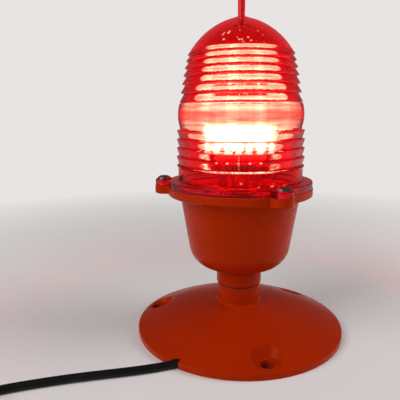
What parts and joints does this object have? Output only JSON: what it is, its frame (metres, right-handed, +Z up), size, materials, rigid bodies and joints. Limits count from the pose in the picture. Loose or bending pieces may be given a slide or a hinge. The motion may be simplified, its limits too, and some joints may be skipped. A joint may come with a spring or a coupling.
{
  "type": "navigation light",
  "caption": "Fixed navigation light: red prismatic lens over a lamp tower, on a cast bowl whose neck turns on a round bolt-down base, with a coiled supply lead.",
  "frame": {"origin": "centre of the base on the ground", "axes": "+Z up along the light's axis, +X to the viewer's right, -Y towards the viewer"},
  "size_m": [0.3268, 0.2874, 0.3262],
  "materials": {
    "orange_paint": "gloss orange paint on cast aluminium",
    "red_lens": "clear red moulded polycarbonate",
    "red_rod": "steel rod under a thin red coat",
    "dark_steel": "blackened stainless steel",
    "zinc_steel": "zinc plated steel",
    "brass": "turned brass",
    "aluminium": "bare sheet and tube",
    "white_board": "white circuit board",
    "green_board": "green circuit board",
    "lamp_glow": "clear epoxy lamps, lit",
    "photocell_face": "sensor disc under clear lacquer",
    "green_plastic": "moulded terminal block",
    "black_plastic": "moulded black nylon",
    "black_rubber": "matt rubber",
    "cable_sheath": "matt black cable sheath",
    "red_wire": "red wire insulation",
    "tie_strap": "black hook and loop strap",
    "plug_rubber": "moulded black plug"
  },
  "bodies": {
    "stand": {"base": "orange_paint", "nipple": "zinc_steel", "neck_seal": "black_rubber", "set_screw": "dark_steel", "cord": "cable_sheath", "cord_coil": "cable_sheath", "coil_tie": "tie_strap", "cord_tail": "cable_sheath", "connector_body": "plug_rubber", "connector_pin": "brass", "connector_socket": "brass"},
    "head": {"housing": "orange_paint", "lens": "red_lens", "lens_gasket": "black_rubber", "lens_screws": "dark_steel", "lens_washers": "dark_steel", "spike_insert": "brass", "bird_spike": "red_rod", "chassis_plate": "aluminium", "chassis_screws": "zinc_steel", "tower_posts": "brass", "board_screws": "zinc_steel", "led_base_board": "white_board", "led_core": "aluminium", "led_strips": "white_board", "leds": "lamp_glow", "led_top_board": "white_board", "tower_bolt": "zinc_steel", "photocell": "photocell_face", "driver_posts": "brass", "driver_board": "green_board", "driver_parts": "black_plastic", "terminal_block": "green_plastic", "supply_wires": "red_wire", "led_wires": "red_wire", "earth_screw": "zinc_steel", "cable_gland": "black_plastic", "gland_seal": "black_rubber", "gland_nut": "black_plastic", "gland_locknut": "black_plastic", "cord_inner": "cable_sheath"}
  },
  "joints": [
    {"name": "head_turn", "type": "hinge", "parent": "stand", "child": "head", "pos_m": [0, 0, 0.042], "axis": [0, 0, 1], "range_deg": [-180, 180]}
  ]
}
